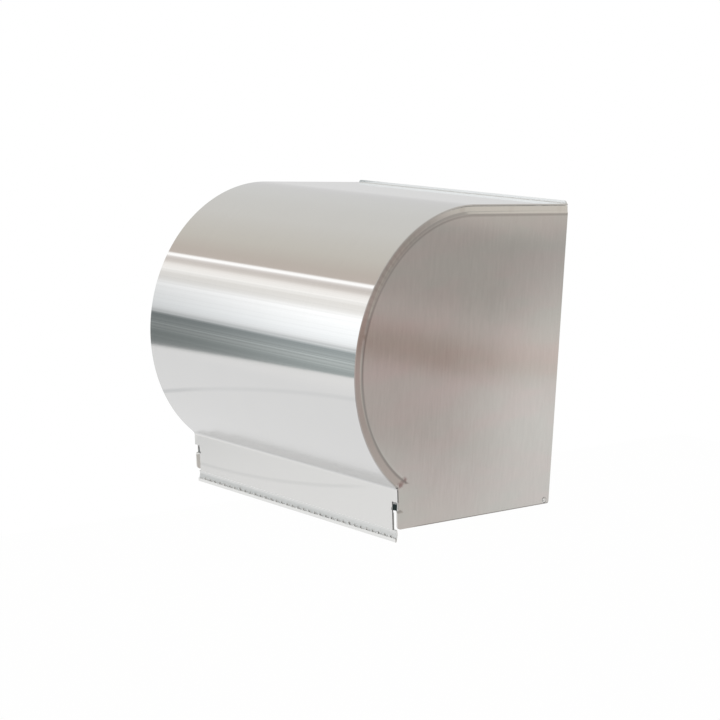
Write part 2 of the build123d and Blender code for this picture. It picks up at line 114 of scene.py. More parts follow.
class Shade:
    """One socket of a node tree. Arithmetic on it adds Math nodes to the tree."""

    def __init__(self, tree, socket=None):
        self.tree = tree
        self.socket = socket

    def add(self, kind, settings=None, inputs=None, output=0):
        """A new node: its settings are set first, then the values or links of its sockets."""
        node = self.tree.nodes.new(kind)
        for name, value in (settings or {}).items():
            if name == "stops":
                ramp = node.color_ramp.elements
                ramp.remove(ramp[1])
                ramp[0].position = value[0][0]
                ramp[0].color = (*value[0][1], 1.0)
                for place, colour in value[1:]:
                    ramp.new(place).color = (*colour, 1.0)
            else:
                setattr(node, name, value)
        for name, value in (inputs or {}).items():
            if isinstance(value, Shade):
                self.tree.links.new(value.socket, node.inputs[name])
            else:
                node.inputs[name].default_value = value
        if not node.outputs:
            return None
        return Shade(self.tree, node.outputs[output])

    def other(self, name):
        """Another output of the node that this socket belongs to."""
        return Shade(self.tree, self.socket.node.outputs[name])

    def math(self, operation, *values):
        """A Math node, for what the operators below don't cover."""
        return self.add("ShaderNodeMath", {"operation": operation}, dict(enumerate(values)))

    def __add__(self, other):
        return self.math("ADD", self, other)

    __radd__ = __add__

    def __sub__(self, other):
        return self.math("SUBTRACT", self, other)

    def __rsub__(self, other):
        return self.math("SUBTRACT", other, self)

    def __mul__(self, other):
        return self.math("MULTIPLY", self, other)

    __rmul__ = __mul__

    def __truediv__(self, other):
        return self.math("DIVIDE", self, other)

    def ease(self, start, end):
        """0 below start and 1 above end, with a soft change between them."""
        limits = {0: self, 1: start, 2: end, 3: 0.0, 4: 1.0}
        return self.add("ShaderNodeMapRange", {"interpolation_type": "SMOOTHSTEP"}, limits)

    def near(self, middle, reach):
        """1 at the middle, falling softly to 0 at a distance of reach."""
        return 1 - self.math("ABSOLUTE", self - middle).ease(0.0, reach)

    def mix(self, first, second):
        """The first colour where this mask is 0 and the second where it is 1."""
        return self.add("ShaderNodeMix", {"data_type": "RGBA"}, {0: self, 6: first, 7: second}, output=2)

    def tint(self, colour):
        """This colour times another one."""
        settings = {"data_type": "RGBA", "blend_type": "MULTIPLY"}
        return self.add("ShaderNodeMix", settings, {0: 1.0, 6: self, 7: colour}, output=2)

    def grey(self):
        """The grey that is as light as this value."""
        return self.add("ShaderNodeCombineColor", None, {0: self, 1: self, 2: self})

    def parts(self):
        """The X, Y and Z of this vector."""
        x = self.add("ShaderNodeSeparateXYZ", None, {0: self})
        return x, x.other("Y"), x.other("Z")

    def ramp(self, stops, lowest, highest):
        """Colours over this value, from stops of (value, colour) between lowest and highest."""
        span = highest - lowest
        shares = [((value - lowest) / span, colour) for value, colour in stops]
        return self.add("ShaderNodeValToRGB", {"stops": shares}, {0: (self - lowest) / span})


print("Shade is ready")

# %% [markdown]
# ## The background and the floor
# The object hangs on a wall in use, and here it hangs above a plain pale floor. The background
# could be a bent paper sweep, but a white world is simpler and looks the same from every side.
# Its Light Path node lets the camera, and metal and glass as well, see pure white, while matt
# surfaces are lit at a slightly lower, plain level. The floor gives out its own even light in the
# same way, and a small part of it is matt, to keep the faint shadow.

# %% White world
white = (1.0, 1.0, 1.0, 1.0)
plain_level = (0.9, 0.9, 0.9, 1.0)


def empty_material(name):
    """A material without nodes, and a Shade to build in its tree."""
    material = bpy.data.materials.new(name)
    material.use_nodes = True
    material.node_tree.nodes.clear()
    return material, Shade(material.node_tree)


def background_colour(shade):
    """White where the camera, a reflection or glass looks, and the plain level for other light."""
    path = shade.add("ShaderNodeLightPath")
    seen = path.math("MAXIMUM", path.other("Is Camera Ray"), path.other("Is Glossy Ray"))
    seen = path.math("MAXIMUM", seen, path.other("Is Transmission Ray"))
    return seen.mix(plain_level, white)


world = bpy.data.worlds.new("white_room")
bpy.context.scene.world = world
world.use_nodes = True
world.node_tree.nodes.clear()
sky = Shade(world.node_tree)
background = sky.add("ShaderNodeBackground", None, {"Color": background_colour(sky)})
sky.add("ShaderNodeOutputWorld", None, {"Surface": background})
print("world", world.name)

# %% [markdown]
# ## Where the floor ends
# The lower front of the cover mirrors the floor, and just above that it mirrors the darker cloth
# beyond the floor's edge. So the floor's left edge settles where the dark band on the cover ends.
# A larger floor would do for the shadow, but it would make that band narrower.

# %% Floor
floor_level = -0.6
floor_left = -1.62
floor_size = (2.12, 5.0)
floor_matt = 0.03

bpy.ops.object.select_all(action="DESELECT")
floor_middle = (floor_left + floor_size[0] / 2, 0.0, floor_level)
bpy.ops.mesh.primitive_plane_add(size=1, location=floor_middle)
floor = bpy.context.object
floor.name = "floor"
floor.scale = (*floor_size, 1)
bpy.ops.object.transform_apply(location=True, rotation=True, scale=True)
floor_finish, lit = empty_material("floor")
glow = lit.add("ShaderNodeEmission", None, {"Color": background_colour(lit)})
matt = lit.add("ShaderNodeBsdfDiffuse", None, {"Color": white})
both = lit.add("ShaderNodeMixShader", None, {0: floor_matt, 1: glow, 2: matt})
lit.add("ShaderNodeOutputMaterial", None, {"Surface": both})
floor.data.materials.append(floor_finish)
print("floor", floor_size, "m")

# %% [markdown]
# ## The studio tent
# Polished sheet shows little of its own: what the eye reads as steel is the room around it. A
# photographer stands such a thing in a tent of pale cloth with darker cards, which lie outside
# the picture. Lamps would do as well, but each would leave a hard spot. The tent here is a large
# sphere that glows faintly and that the camera can't see. The cover bends about the X axis, so
# most of the tent is one ramp over the angle about that axis: 0 degrees is overhead, 90 is level
# and straight ahead, and -90 is level at the wall.

# %% The tent and its directions
tent_radius = 40.0

bpy.ops.object.select_all(action="DESELECT")
bpy.ops.mesh.primitive_uv_sphere_add(segments=48, ring_count=24, radius=tent_radius)
tent = bpy.context.object
tent.name = "studio_tent"
tent.visible_camera = False
tent_finish, cloth = empty_material("studio_tent")
place = cloth.add("ShaderNodeTexCoord", output="Object")
towards = place.add("ShaderNodeVectorMath", {"operation": "NORMALIZE"}, {0: place})
toward_x, toward_y, toward_z = towards.parts()
about_x = toward_z.math("ARCTAN2", toward_y * -1.0, toward_z) * degrees_per_radian
compass = toward_y.math("ARCTAN2", toward_y, toward_x) * degrees_per_radian
elevation = toward_z.math("ARCSINE", toward_z) * degrees_per_radian
print("tent radius", tent_radius, "m")

# %% [markdown]
# ## The tent's ramp
# From the wall over the top to the front there is a plain pale ceiling, which turns warm and a
# little darker. A narrow bright strip follows, as of a window, then a bright wall, and below it a
# dark counter. Each could be a card of its own, but stops on one ramp are quicker to move.

# %% The tent's ramp
tent_stops = [
    (-100, (0.85, 0.85, 0.85)),
    (-86, (0.74, 0.74, 0.74)),
    (-70, (0.71, 0.71, 0.71)),
    (-45, (0.75, 0.75, 0.735)),
    (-10, (0.76, 0.75, 0.72)),
    (18, (0.71, 0.68, 0.625)),
    (32, (0.66, 0.6, 0.545)),
    (38, (0.67, 0.6, 0.55)),
    (39.5, (1.4, 1.4, 1.4)),
    (41.2, (1.4, 1.4, 1.4)),
    (42.4, (0.8, 0.75, 0.72)),
    (46, (0.81, 0.76, 0.72)),
    (50, (1.2, 1.17, 1.14)),
    (54, (1.2, 1.19, 1.17)),
    (57, (1.03, 1.01, 0.98)),
    (62, (1.1, 1.09, 1.07)),
    (67, (1.4, 1.42, 1.44)),
    (84, (1.24, 1.28, 1.31)),
    (88.5, (1.03, 1.06, 1.08)),
    (92.8, (0.21, 0.235, 0.24)),
    (103, (0.29, 0.315, 0.315)),
    (108, (0.22, 0.245, 0.245)),
    (125, (0.24, 0.26, 0.26)),
]
room = about_x.ramp(tent_stops, -180, 180)
print("tent ramp with", len(tent_stops), "stops")

# %% [markdown]
# ## A ripple in the tent
# Real cloth and walls are never even, and polished steel draws every unevenness out into a long
# fine line. More stops could draw such lines one by one. A noise with one dimension, the angle,
# gives them all at once: a faint ripple in the bright wall and a stronger one in the counter.

# %% Ripple
wall_start = (42, 46)
wall_ripple = 0.25
counter_start = (90, 92)
counter_ripple = 0.9
ripple_scale = 0.8
ripple_detail = 3.0

waves = {"W": about_x, "Scale": ripple_scale, "Detail": ripple_detail}
ripple = about_x.add("ShaderNodeTexNoise", {"noise_dimensions": "1D"}, waves)
strength = about_x.ease(*wall_start) * wall_ripple + about_x.ease(*counter_start) * counter_ripple
ripple = 1 + (ripple - 0.5) * strength
room = room.tint(ripple.grey())
print("ripple added")

# %% [markdown]
# ## The light along the cover
# The cover is rounded one way only, so a place further left on it looks further left into the
# room. The bright wall grows a little darker to the left, and the counter below it grows lighter
# to the right. A second ramp could say so, but two soft steps over the X direction are enough.

# %% Fall-off from left to right
wall_brightens = (45, 75)
wall_ends = (89, 92)
wall_left_to_right = (-0.82, -0.72)
wall_loss = 0.33
counter_left_to_right = (-0.80, -0.72)
counter_gain = 0.95

bright_wall = about_x.ease(*wall_brightens) * (1 - about_x.ease(*wall_ends))
left_of_wall = 1 - toward_x.ease(*wall_left_to_right)
right_of_counter = toward_x.ease(*counter_left_to_right) * about_x.ease(*counter_start)
fall = (1 - left_of_wall * bright_wall * wall_loss) * (1 + right_of_counter * counter_gain)
room = room.tint(fall.grey())
print("fall-off added")

# %% [markdown]
# ## What the right-hand side sees
# The side plate is flat, so it mirrors one small window of the room, far to the right: a dim
# corner, a lighter wall further round, and a warm band level with the skirting. A picture on a
# card would fix this for one view only, so it is two ramps over the elevation, how high a
# direction is, and they meet at a compass angle, how far round it is.

# %% The room to the right
corner_stops = [
    (-13.5, (0.66, 0.64, 0.61)),
    (-12.2, (0.60, 0.56, 0.54)),
    (-11.0, (0.53, 0.48, 0.455)),
    (-9.1, (0.55, 0.48, 0.46)),
    (-8.8, (0.50, 0.43, 0.40)),
    (-8.55, (0.40, 0.31, 0.275)),
    (-7.9, (0.43, 0.345, 0.31)),
    (-7.4, (0.53, 0.455, 0.43)),
    (-6.9, (0.52, 0.47, 0.445)),
    (-6.4, (0.445, 0.41, 0.385)),
    (-3.9, (0.44, 0.415, 0.39)),
    (-3.4, (0.62, 0.59, 0.55)),
    (2.0, (0.50, 0.48, 0.45)),
    (14.0, (0.40, 0.38, 0.36)),
]
wall_stops = [
    (-13.5, (0.77, 0.76, 0.74)),
    (-10.0, (0.83, 0.81, 0.79)),
    (-8.8, (0.79, 0.755, 0.73)),
    (-8.55, (0.75, 0.66, 0.62)),
    (-7.9, (0.77, 0.70, 0.66)),
    (-7.4, (0.77, 0.73, 0.70)),
    (-6.4, (0.71, 0.69, 0.66)),
    (-4.5, (0.55, 0.53, 0.51)),
    (-3.9, (0.50, 0.48, 0.46)),
    (-3.4, (0.64, 0.61, 0.57)),
]
lowest_seen = -20.0
highest_seen = 20.0
corner_compass = 45.5
skirting_slope = 0.16
wall_edge = (46.1, 48.5)
wall_edge_shift = 1.8

skirting = elevation + (compass - corner_compass) * skirting_slope
corner = skirting.ramp(corner_stops, lowest_seen, highest_seen)
side_wall = elevation.ramp(wall_stops, lowest_seen, highest_seen)
leaning = compass - elevation.ease(-9.5, -4.5) * wall_edge_shift
right_room = leaning.ease(*wall_edge).mix(corner, side_wall)
to_the_right = toward_x.ease(0.0, 0.08)
behind = toward_y.ease(-0.1, 0.05)
below_ceiling = 1 - elevation.ease(34.0, 55.0)
right_mask = to_the_right * behind * below_ceiling
room = right_mask.mix(room, right_room)
print("right side with", len(corner_stops) + len(wall_stops), "stops")

# %% [markdown]
# ## Two cards and the open back
# The ears beside the apron and the blade's trough look forwards and down, where a dark card gives
# them their shade. A bright key card to the right of it gives the rounded rims a thin highlight.
# Both could be planes near the object, but as soft-edged parts of the tent they never stand in
# the way. Low behind the wall plate the tent is open, and the white world is seen there.

# %% Cards and opening
dark_card = (0.05, 0.05, 0.05, 1.0)
key_card = (1.3, 1.3, 1.3, 1.0)

below_level = 1 - elevation.ease(-1.0, 1.0)
not_far_left = toward_x.ease(-0.5, -0.42)
low_front = below_level * not_far_left * (1 - behind)
room = low_front.mix(room, dark_card)
not_low = elevation.ease(-16.0, -6.0)
well_right = toward_x.ease(0.35, 0.45)
well_ahead = 1 - toward_y.ease(-0.2, -0.1)
room = (not_low * well_right * well_ahead).mix(room, key_card)
low_behind = 1 - about_x.ease(-108, -98)
open_back = low_behind * (1 - right_mask) * (1 - low_front)
glow = cloth.add("ShaderNodeEmission", None, {"Color": room})
clear = cloth.add("ShaderNodeBsdfTransparent")
skin = cloth.add("ShaderNodeMixShader", None, {0: open_back, 1: glow, 2: clear})
cloth.add("ShaderNodeOutputMaterial", None, {"Surface": skin})
tent.data.materials.append(tent_finish)
print("tent has", len(tent_finish.node_tree.nodes), "nodes")

# %% [markdown]
# ## Brushed metal
# Brushing leaves fine scratches in one direction. Drawn as geometry they would be far too many,
# so they are a noise that is stretched along the grain: hardly changing one way, and changing
# every few tenths of a millimetre the other way. The same noise moves the colour and the
# roughness a little. A broader noise adds the cloudy marks of handling.

# %% A finish for metal
cloud_scales = (38.0, 38.0, 38.0)
streak_polish = 0.6
cloud_polish = 0.5


def noise(shade, scales, detail=2.0, offset=(0.0, 0.0, 0.0)):
    """Noise from 0 to 1 on Object coordinates, stretched by its scales along X, Y and Z."""
    place = shade.add("ShaderNodeTexCoord", output="Object")
    place = place.add("ShaderNodeMapping", None, {"Vector": place, "Location": offset, "Scale": scales})
    inputs = {"Vector": place, "Scale": 1.0, "Detail": detail, "Roughness": 0.6}
    return place.add("ShaderNodeTexNoise", None, inputs)


def metal(slot, colour, roughness, grain, fine, cloudy, dull=None, spread=0.0, marks=None):
    """Brushed metal: grain gives the noise's scales, and fine and cloudy say how much it shows."""
    finish, shade = empty_material(slot)
    streaks = noise(shade, grain, 3.0) - 0.5
    clouds = noise(shade, cloud_scales, 3.0) - 0.5
    tone = (1 + streaks * fine + clouds * cloudy).grey().tint((*colour, 1.0))
    if marks:
        tone = marks(shade, tone)
    polish = (streaks * streak_polish + clouds * cloud_polish) * roughness + roughness
    if dull:
        polish = polish + dull(shade)
    inputs = {"Base Color": tone, "Metallic": 1.0, "Roughness": polish, "Anisotropic": spread}
    surface = shade.add("ShaderNodeBsdfPrincipled", None, inputs)
    shade.add("ShaderNodeOutputMaterial", None, {"Surface": surface})
    return finish


print("metal finish is ready")

# %% [markdown]
# ## Where on the cover a mark lies
# Some marks follow the cover's shape: a line along the arc, or the lower part of the front. A
# painted mask would need a UV map. It is simpler to work out a place's height, and its angle
# about the roll's axis, from its Object coordinates. The first use is for what is dull: the lower
# front, where hands touch it, and the trough behind the tear edge.

# %% Places, and what is dull
worn_below = (-75 * mm, -30 * mm)
worn_roughness = 0.14
touched_below = (-14 * mm, 0.0)
touched_roughness = 0.07
trough_above = (-117.4 * mm, -117.1 * mm)
trough_roughness = 0.2


def coordinates(shade):
    """X, Y and Z of the place that is shaded, in metres."""
    return shade.add("ShaderNodeTexCoord", output="Object").parts()


def roll_angle(y, z):
    """The angle about the roll's axis, in degrees: 0 on top, 90 in front and 145 at the fold."""
    return z.math("ARCTAN2", roll_y - y, z) * degrees_per_radian


def worn_low(shade):
    """The lower front is handled most, so it is duller than the rest of the cover."""
    height = coordinates(shade)[2]
    worn = (1 - height.ease(*worn_below)) * worn_roughness
    return worn + (1 - height.ease(*touched_below)) * touched_roughness


def dull_trough(shade):
    """The trough behind the tear edge keeps the mill's dull surface."""
    return coordinates(shade)[2].ease(*trough_above) * trough_roughness


print("the cover is dullest below", worn_below[0], "m")

# %% [markdown]
# ## Marks on the apron
# The real cover isn't new, and one shallow dent runs across its apron. The apron's sheared ends are
# painted darker than its face, as painted shade, and the small ears beside them darker still. The
# dent could be modelled, but it is so shallow that only a curved line of shade can be seen, so that
# line is painted shade, a tint that follows a parabola.

# %% Painted shade on the apron
apron_top = -83.0
sheared_facing = (0.6, 0.9)
# Tints of painted shade for the sheared ends, the ears and the dent's line
sheared_shade_tint = (0.16, 0.16, 0.16, 1.0)
ear_from_middle = (102.4, 102.6)
ear_height = (-94.0, -93.5)
ear_shade_tint = (0.06, 0.085, 0.085, 1.0)
dent_left = -103
dent_length = 182
dent_top = apron_top - 3.5
dent_sag = 19
dent_reach = 2.4
dent_fades = (0.85, 1.05)
dent_strength = 0.14
dent_shade_tint = (0.35, 0.36, 0.36, 1.0)


def apron_painted_shade(shade, tone, across, height):
    """Painted shade on the sheared ends, the ears and along the dent. Lengths are in millimetres."""
    apron = 1 - height.ease(apron_top - 1, apron_top)
    facing = shade.add("ShaderNodeTexCoord", output="Normal").parts()[0]
    # Painted shade: the apron's sheared end faces are darkened
    sheared_shade = facing.math("ABSOLUTE", facing).ease(*sheared_facing) * apron
    tone = sheared_shade.mix(tone, sheared_shade_tint)
    # Painted shade: the ears in the notches are darkened further
    ear = across.math("ABSOLUTE", across).ease(*ear_from_middle) * (1 - height.ease(*ear_height))
    tone = ear.mix(tone, ear_shade_tint)
    # Painted shade: a curved dark line along the shallow dent
    share = (across - dent_left) / dent_length
    dent_line = dent_top - dent_sag * (1 - share * share)
    dent = (height - dent_line).near(0.0, dent_reach) * (1 - share.ease(*dent_fades)) * apron
    return (dent * dent_strength).mix(tone, dent_shade_tint)


print("dent", dent_length, "mm long")

# %% [markdown]
# ## Painted reflection and shade on the round front
# Round the front, painted reflection and shade follow the roll: a faint dark streak of painted
# reflection crosses the lower front at a slant, the steel below the middle is tinted a little cooler
# as a painted reflection, and painted shade darkens it towards the fold. They could be darker stops
# in the tent, but as tints on the sheet they lift with it.

# %% Painted reflection and shade on the round front
# Painted reflection for the streak and the cooler lower front, and painted shade for the fold
streak_middle = 107.9
streak_slope = 0.0834
streak_bow = 0.00024
streak_reach = 1.6
streak_strength = 0.1
streak_left_strength = 0.2
streak_weakens = (-95, -40)
streak_reflection_tint = (0.3, 0.32, 0.33, 1.0)
cool_below = (93, 103)
cool_reflection_tint = (0.905, 0.91, 0.92, 1.0)
fold_near = (133, 144)
fold_shade_strength = 0.14
fold_shade_tint = (0.38, 0.39, 0.40, 1.0)


def cover_painted_light(shade, tone):
    """The cover's painted shade and reflection: the apron's first, then those along the roll's angle."""
    x, y, z = coordinates(shade)
    across = x / mm
    height = z / mm
    angle = roll_angle(y, z)
    rolled = height.ease(apron_top - 1, apron_top)
    tone = apron_painted_shade(shade, tone, across, height)
    # Painted reflection: a faint dark streak along the arc, stronger to the left
    streak_line = streak_middle - across * streak_slope + across * across * streak_bow
    strength = streak_strength + (1 - across.ease(*streak_weakens)) * streak_left_strength
    streak_reflection = (angle - streak_line).near(0.0, streak_reach) * strength
    tone = (streak_reflection * rolled).mix(tone, streak_reflection_tint)
    # Painted reflection: a cooler tint on the front below the middle
    tone = (angle.ease(*cool_below) * rolled).mix(tone, tone.tint(cool_reflection_tint))
    # Painted shade: darker towards the fold
    return (angle.ease(*fold_near) * rolled * fold_shade_strength).mix(tone, fold_shade_tint)


print("marks on the cover are ready")

# %% [markdown]
# ## The cover, the blade and the small steels
# The cover is the best finished sheet. Its grain runs round the roll, so the noise changes
# quickly along X and slowly along Y and Z. The tone stays light, because stainless steel reflects
# about seven tenths of what it sees. The other steels differ only in tone, grain and dullness, so
# a table of them is easier to compare than one material after another.

# %% Steels and aluminium
cover_grain = (1500.0, 6.0, 6.0)
blade_grain = (9.0, 1400.0, 1400.0)
cover_colour = (0.735, 0.73, 0.72)
blade_colour = (0.78, 0.78, 0.77)
finishes = {
    "cover_steel": metal("cover_steel", cover_colour, roughness=0.05, grain=cover_grain,
                         fine=0.05, cloudy=0.02, dull=worn_low, marks=cover_painted_light),
    "blade_steel": metal("blade_steel", blade_colour, roughness=0.2, grain=blade_grain,
                         fine=0.07, cloudy=0.05, dull=dull_trough),
}
# Slot, colour, roughness, grain, fine and cloudy
plain_metals = (
    ("wall_plate_steel", (0.76, 0.76, 0.75), 0.2, (8.0, 900.0, 900.0), 0.1, 0.1),
    ("hinge_steel", (0.72, 0.72, 0.71), 0.22, (12.0, 1200.0, 1200.0), 0.1, 0.06),
    ("arm_steel", (0.64, 0.64, 0.63), 0.3, (900.0, 10.0, 900.0), 0.1, 0.1),
    ("rivet_steel", (0.70, 0.70, 0.69), 0.2, (700.0, 700.0, 700.0), 0.1, 0.08),
    ("spring_steel", (0.60, 0.60, 0.59), 0.2, (60.0, 1200.0, 1200.0), 0.12, 0.08),
    ("button_steel", (0.78, 0.78, 0.77), 0.12, (900.0, 900.0, 900.0), 0.05, 0.05),
    ("sleeve_aluminium", (0.75, 0.75, 0.76), 0.3, (900.0, 20.0, 20.0), 0.08, 0.05),
)
for slot, colour, roughness, grain, fine, cloudy in plain_metals:
    finishes[slot] = metal(slot, colour, roughness, grain, fine, cloudy)
print("finishes", len(finishes))

# %% [markdown]
# ## Clouds and welds on the side plates
# The rolled sheet of the side plates is blotchy: broad clouds of a faint rose and a faint green,
# which show because the plate mirrors a plain part of the room. The spot welds along its upper
# edge and at the end of its rim have left small brown tints. They could be painted on a map, but
# a distance from each weld's place does it without an image.

# %% Clouds and welds
green_cloud = (0.985, 1.0, 0.985, 1.0)
rose_cloud = (1.02, 0.985, 0.98, 1.0)
tack_tint = (0.30, 0.20, 0.17, 1.0)
weld_tint = (0.30, 0.17, 0.17, 1.0)
plate_x = 107.0
tack_height = 98.0
tack_reach = (1.2 * mm, 4.0 * mm)
tack_strength = 0.35
weld_reach = (0.8 * mm, 3.4 * mm)
weld_strength = 0.75
tack_places = [(plate_x, y, tack_height) for y in (-9.0, -58.0, -105.0)]
weld_places = [(plate_x, y, z) for y, z in ((-151.6, -83.7), (-148.2, -80.5), (-144.8, -77.9))]
speckle_strength = 0.10


def near_place(shade, place, reach):
    """1 close to a place, which is in millimetres, and 0 beyond its reach."""
    here = shade.add("ShaderNodeTexCoord", output="Object")
    there = [length * mm for length in place]
    settings = {"operation": "DISTANCE"}
    distance = here.add("ShaderNodeVectorMath", settings, {0: here, 1: there}, output="Value")
    return 1 - distance.ease(*reach)


def clouds_and_welds(shade, tone):
    """The sheet's faint clouds and speckle, and the brown tints of its spot welds."""
    broad = noise(shade, (22.0, 16.0, 60.0), offset=(0.0, 3.0, 1.0))
    tone = tone.tint(broad.ease(0.35, 0.7).mix(green_cloud, rose_cloud))
    fine = noise(shade, (200.0, 500.0, 90.0), 3.0, offset=(5.0, 0.0, 2.0))
    tone = tone.tint((1 + (fine - 0.5) * speckle_strength).grey())
    for place in tack_places:
        tone = (near_place(shade, place, tack_reach) * tack_strength).mix(tone, tack_tint)
    for place in weld_places:
        ragged = noise(shade, (500.0, 500.0, 500.0)).ease(0.3, 0.6)
        burn = near_place(shade, place, weld_reach) * ragged
        tone = (burn * weld_strength).mix(tone, weld_tint)
    return tone


print("tacks", len(tack_places), "welds", len(weld_places))

# %% [markdown]
# ## The rim of the side plates
# Each side plate has a raised panel, and a narrow rim outside it that follows the roll. The rim
# is painted darker in front and paler on top, as painted shade and light, with the painted shade of
# faint wrinkles between, where the sheet was drawn. The wrinkles could be modelled, but a sine over
# the angle about the roll's axis is enough to paint their shade.

# %% Painted light and shade on the rim
# Painted shade in front, painted light on top, and the wrinkles' painted shade
front_starts = (15.0, 45.0)
front_strength = 0.6
front_shade_tint = (0.80, 0.72, 0.69, 1.0)
top_ends = (-5.0, 30.0)
top_strength = 0.8
top_light_tint = (0.92, 0.90, 0.86, 1.0)
wrinkle_middle = 55.0
wrinkle_reach = 40.0
wrinkle_waves = 2.1
wrinkle_strength = 0.12
wrinkle_shade_tint = (0.25, 0.2, 0.19, 1.0)


def rim_light_and_shade(tone, rim, around):
    """The rim's painted shade and light, by the angle around the roll's axis in degrees."""
    # Painted shade darkens the rim's front, and painted light pales its top
    shaded_front = around.ease(*front_starts) * rim
    tone = (shaded_front * front_strength).mix(tone, tone.tint(front_shade_tint))
    lit_top = (1 - around.ease(*top_ends)) * rim
    tone = (lit_top * top_strength).mix(tone, top_light_tint)
    # Painted shade of the drawn wrinkles, as a sine
    waves = around.math("SINE", around * wrinkle_waves)
    wrinkle_shade = waves * around.near(wrinkle_middle, wrinkle_reach) * rim
    return (wrinkle_shade * wrinkle_strength).mix(tone, wrinkle_shade_tint)


print("rim tints are ready")

# %% [markdown]
# ## The step and the lower edge
# The step round the panel holds a dark line of painted shade, and so does the plate's lower front
# edge. The step is in the mesh, but it is only half a millimetre high, and its shade would be lost
# without a tint. It runs round the roll, so the distance from the roll's axis places it.

# %% Marks on the side plates
step_radius = 93.9
step_reach = 1.5
step_strength = 0.35
step_deepens = (55.0, 95.0)
step_tint = (0.24, 0.21, 0.20, 1.0)
rim_starts = (step_radius + 0.4, step_radius + 1.0)
rim_ends = (-81.0, -79.5)
low_edge_height = (-110.3, -109.4)
low_edge_start = (-140.0, -125.0)
low_edge_strength = 0.7
low_edge_shade_tint = (0.16, 0.14, 0.14, 1.0)


def side_marks(shade, tone):
    """Clouds, welds, and painted light and shade on rim, lower edge and step. Lengths are in millimetres.
    """
    tone = clouds_and_welds(shade, tone)
    y, z = coordinates(shade)[1:]
    height = z / mm
    around = roll_angle(y, z)
    ahead = y.math("MINIMUM", y - roll_y, 0.0) / mm
    from_axis = y.math("SQRT", ahead * ahead + height * height)
    above_apron = height.ease(*rim_ends)
    rim = from_axis.ease(*rim_starts) * above_apron
    tone = rim_light_and_shade(tone, rim, around)
    # Painted shade along the plate's lower front edge
    shaded_low_edge = (1 - height.ease(*low_edge_height)) * (y / mm).ease(*low_edge_start)
    tone = (shaded_low_edge * low_edge_strength).mix(tone, low_edge_shade_tint)
    step = from_axis.near(step_radius, step_reach) * above_apron
    depth = step_strength + around.ease(*step_deepens) * step_strength
    return (step * depth).mix(tone, step_tint)


print("marks on the side plates are ready")

# %% [markdown]
# ## The side plates' steel
# The side plates are a little duller than the cover. Their grain stands upright, which spreads
# reflections sideways. Roughness alone would spread them every way, so the shader's own
# anisotropy is used as well.

# %% Side steel
side_grain = (900.0, 1300.0, 14.0)
side_colour = (0.70, 0.69, 0.68)
side = metal("side_steel", side_colour, roughness=0.08, grain=side_grain, fine=0.02, cloudy=0.04,
             spread=0.8, marks=side_marks)
finishes["side_steel"] = side
print("side steel has", len(side.node_tree.nodes), "nodes")

# %% [markdown]
# ## Plastics
# The spindle is a satin light grey moulding, and the bushes and the stop ring are natural nylon,
# which is a little yellow and quite dull. A plain colour would look like paint, so both carry the
# faint orange-peel bump of a mould and a cloudy tone.

# %% A finish for moulded plastic
peel_scales = (1200.0, 1200.0, 1200.0)
peel_height = 0.05 * mm
peel_strength = 0.15
haze_scales = (45.0, 45.0, 45.0)
haze_tone = 0.08
haze_roughness = 0.1


def plastic(slot, colour, roughness):
    """Moulded plastic: a fine bump, and a tone and a roughness that vary slowly."""
    finish, shade = empty_material(slot)
    haze = noise(shade, haze_scales) - 0.5
    tone = (1 + haze * haze_tone).grey().tint((*colour, 1.0))
    peel = {"Strength": peel_strength, "Distance": peel_height, "Height": noise(shade, peel_scales)}
    normal = shade.add("ShaderNodeBump", None, peel)
    inputs = {"Base Color": tone, "Roughness": roughness + haze * haze_roughness, "Normal": normal}
    surface = shade.add("ShaderNodeBsdfPrincipled", None, inputs)
    shade.add("ShaderNodeOutputMaterial", None, {"Surface": surface})
    return finish


finishes["spindle_plastic"] = plastic("spindle_plastic", (0.80, 0.80, 0.78), 0.35)
finishes["nylon"] = plastic("nylon", (0.84, 0.83, 0.77), 0.55)
print("finishes", len(finishes))

# %% [markdown]
# ## Dressing the CAD pieces
# Pieces whose CAD shape is right keep it, and only get their finish. They could be dressed one by
# one, but the record says which material slot each piece belongs to, so one loop dresses them all.

# %% Finish on every CAD node
slot_of = {row["node"]: row["material_slot"] for row in frame["record"]["subparts"]}
body_of = {n: body for body, names in frame["record"]["behaviour"]["bodies"].items() for n in names}
for name, node in nodes.items():
    node.data.materials.clear()
    node.data.materials.append(finishes[slot_of[name]])
print("dressed", len(nodes), "nodes")

# %% [markdown]
# ## Selecting by place
# Modelling by hand means selecting and then pressing a key. In code, the selecting is a test on
# each face's middle, edge's middle or point, and the key is an operator. The flags of a mesh
# can only be set outside edit mode, so this helper leaves edit mode, selects and goes back.


# %% Helpers for editing
def only(piece):
    """Make this the only selected object, and the active one."""
    bpy.ops.object.select_all(action="DESELECT")
    piece.select_set(True)
    bpy.context.view_layer.objects.active = piece


def edit(piece):
    """Go into edit mode on this piece alone."""
    only(piece)
    bpy.ops.object.mode_set(mode="EDIT")


def pick(piece, kind, test):
    """Select just the points, edges or faces of a piece whose middle passes the test."""
    bpy.ops.mesh.select_mode(type=kind)
    bpy.ops.mesh.select_all(action="DESELECT")
    bpy.ops.object.mode_set(mode="OBJECT")
    mesh = piece.data
    points = [v.co for v in mesh.vertices]
    for item in {"VERT": mesh.vertices, "EDGE": mesh.edges, "FACE": mesh.polygons}[kind]:
        corners = [item.co] if kind == "VERT" else [points[i] for i in item.vertices]
        item.select = bool(test(sum(corners, Vector()) / len(corners)))
    bpy.ops.object.mode_set(mode="EDIT")


def apply_modifier(piece, kind, **settings):
    """Give a piece a modifier with these settings, and apply it."""
    modifier = piece.modifiers.new(kind.lower(), kind)
    for name, value in settings.items():
        setattr(modifier, name, value)
    only(piece)
    bpy.ops.object.modifier_apply(modifier=modifier.name)


print("helpers are ready")

